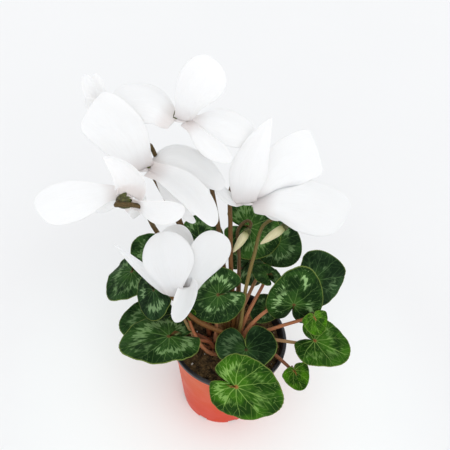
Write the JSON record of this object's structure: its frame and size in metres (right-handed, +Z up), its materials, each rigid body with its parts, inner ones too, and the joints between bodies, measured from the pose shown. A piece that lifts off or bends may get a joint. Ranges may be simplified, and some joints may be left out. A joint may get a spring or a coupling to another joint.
{
  "type": "potted cyclamen",
  "caption": "White-flowered cyclamen in a terracotta-coloured plastic nursery pot, with patterned heart-shaped leaves, upswept petals, nodding buds and soil round the tuber.",
  "frame": {"origin": "centre of the pot's foot, in the plane that the pot stands on", "axes": "+Z up along the pot's axis; -Y is the side that the plant is seen from, and +X is to the right from there"},
  "size_m": [0.2861, 0.193, 0.3845],
  "materials": {
    "pot": "terracotta-coloured moulded polypropylene with a satin sheen; the lip and the inside are the black of its inner layer",
    "soil": null,
    "tuber": null,
    "leaf_blade": null,
    "leaf_stalk": "reddish pink to tan smooth leaf stalk",
    "flower_stalk": "brown to brown-red flower stalk that turns olive green towards the calyx",
    "petals": "thin white satin petals, slightly translucent, with faint veins",
    "bud": "cream bud with a green flush where it joins its stalk"
  },
  "bodies": {
    "root": {"pot": "pot", "soil": "soil", "tuber": "tuber", "leaf_blade_01": "leaf_blade", "leaf_blade_02": "leaf_blade", "leaf_blade_03": "leaf_blade", "leaf_blade_04": "leaf_blade", "leaf_blade_05": "leaf_blade", "leaf_blade_06": "leaf_blade", "leaf_blade_07": "leaf_blade", "leaf_blade_08": "leaf_blade", "leaf_blade_09": "leaf_blade", "leaf_blade_10": "leaf_blade", "leaf_blade_11": "leaf_blade", "leaf_blade_12": "leaf_blade", "leaf_blade_13": "leaf_blade", "leaf_blade_14": "leaf_blade", "leaf_blade_15": "leaf_blade", "leaf_blade_16": "leaf_blade", "leaf_blade_17": "leaf_blade", "leaf_blade_18": "leaf_blade", "leaf_blade_19": "leaf_blade", "leaf_stalk_01": "leaf_stalk", "leaf_stalk_02": "leaf_stalk", "leaf_stalk_03": "leaf_stalk", "leaf_stalk_04": "leaf_stalk", "leaf_stalk_05": "leaf_stalk", "leaf_stalk_06": "leaf_stalk", "leaf_stalk_07": "leaf_stalk", "leaf_stalk_08": "leaf_stalk", "leaf_stalk_09": "leaf_stalk", "leaf_stalk_10": "leaf_stalk", "leaf_stalk_11": "leaf_stalk", "leaf_stalk_12": "leaf_stalk", "leaf_stalk_13": "leaf_stalk", "leaf_stalk_14": "leaf_stalk", "leaf_stalk_15": "leaf_stalk", "leaf_stalk_16": "leaf_stalk", "leaf_stalk_17": "leaf_stalk", "leaf_stalk_18": "leaf_stalk", "leaf_stalk_19": "leaf_stalk", "flower_1_corolla": "petals", "flower_1_stalk": "flower_stalk", "flower_2_corolla": "petals", "flower_2_stalk": "flower_stalk", "flower_3_corolla": "petals", "flower_3_stalk": "flower_stalk", "flower_4_corolla": "petals", "flower_4_stalk": "flower_stalk", "flower_5_corolla": "petals", "flower_5_stalk": "flower_stalk", "flower_6_corolla": "petals", "flower_6_stalk": "flower_stalk", "bud_1": "bud", "bud_1_stalk": "flower_stalk", "bud_2": "bud", "bud_2_stalk": "flower_stalk"}
  },
  "joints": []
}
